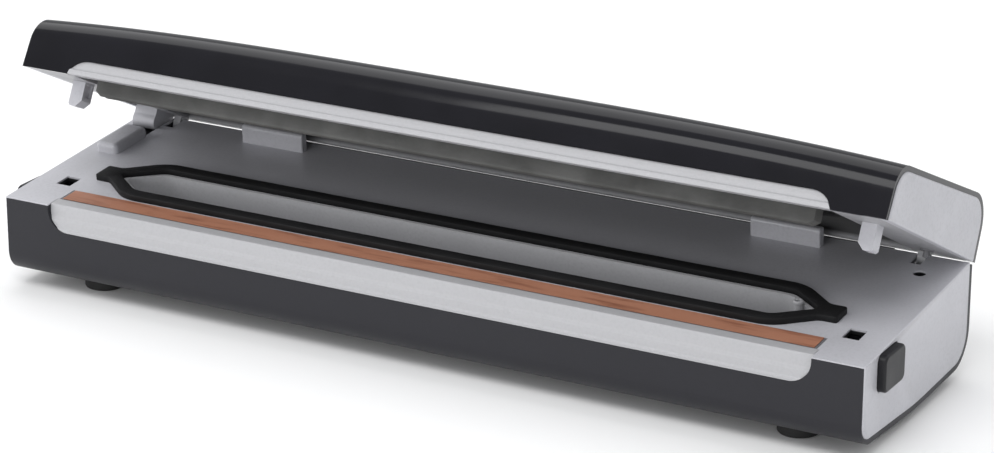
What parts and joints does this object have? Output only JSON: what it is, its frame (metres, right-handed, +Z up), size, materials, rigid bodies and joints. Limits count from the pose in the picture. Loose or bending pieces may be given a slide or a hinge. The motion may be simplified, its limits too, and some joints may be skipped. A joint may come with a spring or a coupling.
{
  "type": "bag vacuum sealer",
  "caption": "Long low bag sealer with a hinged gloss-black lid, shown open over a vacuum trough, gasket and copper-coloured heat-seal strip.",
  "frame": {"origin": "middle of the whole object's footprint at floor level, with the lid open", "axes": "+X along the length, +Y from the front to the hinge side, +Z up"},
  "size_m": [0.3762, 0.1118, 0.1059],
  "materials": {
    "black_shell": "satin",
    "gloss_black": "gloss",
    "silver_plastic": "satin",
    "light_plastic": "satin",
    "grey_plastic": "satin",
    "mid_grey_plastic": "satin",
    "dark_foam": "matte",
    "pad_rubber": "matte",
    "foot_rubber": "matte",
    "hose_rubber": "satin",
    "copper_tape": "satin",
    "nickel": "satin",
    "steel": "satin",
    "zinc_screw": "satin",
    "green_board": "satin",
    "winding": "satin",
    "white_plastic": "satin",
    "black_satin": "satin",
    "lamp": "clear",
    "brass": "satin"
  },
  "bodies": {
    "base": {"bag_stop_left": "silver_plastic", "bag_stop_right": "silver_plastic", "base_frame": "silver_plastic", "base_gasket": "dark_foam", "base_screws": "zinc_screw", "base_shell": "black_shell", "cable_guard": "silver_plastic", "chamber_liner": "light_plastic", "control_board": "green_board", "foot_front_left": "foot_rubber", "foot_front_right": "foot_rubber", "foot_rear_left": "foot_rubber", "foot_rear_right": "foot_rubber", "front_tray": "light_plastic", "heating_wire": "nickel", "hinge_bracket_left": "grey_plastic", "hinge_bracket_right": "grey_plastic", "hinge_pin_left": "steel", "hinge_pin_right": "steel", "latch_spring_left": "steel", "latch_spring_right": "steel", "lid_switch": "black_satin", "motor_can": "steel", "power_inlet": "black_satin", "power_transformer": "winding", "pump_diaphragm": "dark_foam", "pump_head": "white_plastic", "pump_housing": "white_plastic", "release_valve": "white_plastic", "seal_backing_bar": "grey_plastic", "seal_tape": "copper_tape", "vacuum_hose": "hose_rubber", "vacuum_port": "light_plastic", "wire_terminals": "brass"},
    "lid": {"cable_duct": "silver_plastic", "control_panel": "gloss_black", "hinge_arm_left": "mid_grey_plastic", "hinge_arm_right": "mid_grey_plastic", "lid_board": "green_board", "lid_cap_left": "silver_plastic", "lid_cap_right": "silver_plastic", "lid_gasket": "dark_foam", "lid_hook_left": "silver_plastic", "lid_hook_right": "silver_plastic", "lid_liner": "mid_grey_plastic", "lid_shell": "gloss_black", "lid_trim": "light_plastic", "panel_lamps": "lamp", "pressure_pad": "pad_rubber", "switch_pin": "grey_plastic"},
    "latch_left": {"latch_slide_left": "black_satin", "release_button_left": "black_satin"},
    "latch_right": {"latch_slide_right": "black_satin", "release_button_right": "black_satin"},
    "pump_drive": {"motor_shaft": "steel"},
    "lid_switch_plunger": {"switch_plunger": "black_satin"},
    "vacuum_seal_key": {"vacuum_seal_button": "silver_plastic"},
    "seal_key": {"seal_button": "silver_plastic"}
  },
  "joints": [
    {"name": "lid_hinge", "type": "hinge", "parent": "base", "child": "lid", "pos_m": [0, 0.03988, 0.0354], "axis": [-1, 0, 0], "range_deg": [-31.26, 0], "deforming": ["pressure_pad"]},
    {"name": "latch_left_slide", "type": "slide", "parent": "base", "child": "latch_left", "axis": [1, 0, 0], "range_m": [-0.0013, 0.0025], "stiffness_N_per_m": 400, "deforming": ["latch_spring_left"]},
    {"name": "latch_right_slide", "type": "slide", "parent": "base", "child": "latch_right", "axis": [-1, 0, 0], "range_m": [-0.0013, 0.0025], "stiffness_N_per_m": 400, "deforming": ["latch_spring_right"]},
    {"name": "pump_spin", "type": "hinge", "parent": "base", "child": "pump_drive", "pos_m": [-0.05, 0.01708, 0.0215], "axis": [1, 0, 0], "continuous": true},
    {"name": "lid_switch_travel", "type": "slide", "parent": "base", "child": "lid_switch_plunger", "axis": [0, 0, -1], "range_m": [0, 0.0015], "stiffness_N_per_m": 200},
    {"name": "vacuum_seal_key_press", "type": "slide", "parent": "lid", "child": "vacuum_seal_key", "axis": [0, -0.4093, -0.9124], "range_m": [0, 0.001], "stiffness_N_per_m": 500},
    {"name": "seal_key_press", "type": "slide", "parent": "lid", "child": "seal_key", "axis": [0, -0.4093, -0.9124], "range_m": [0, 0.001], "stiffness_N_per_m": 500}
  ]
}
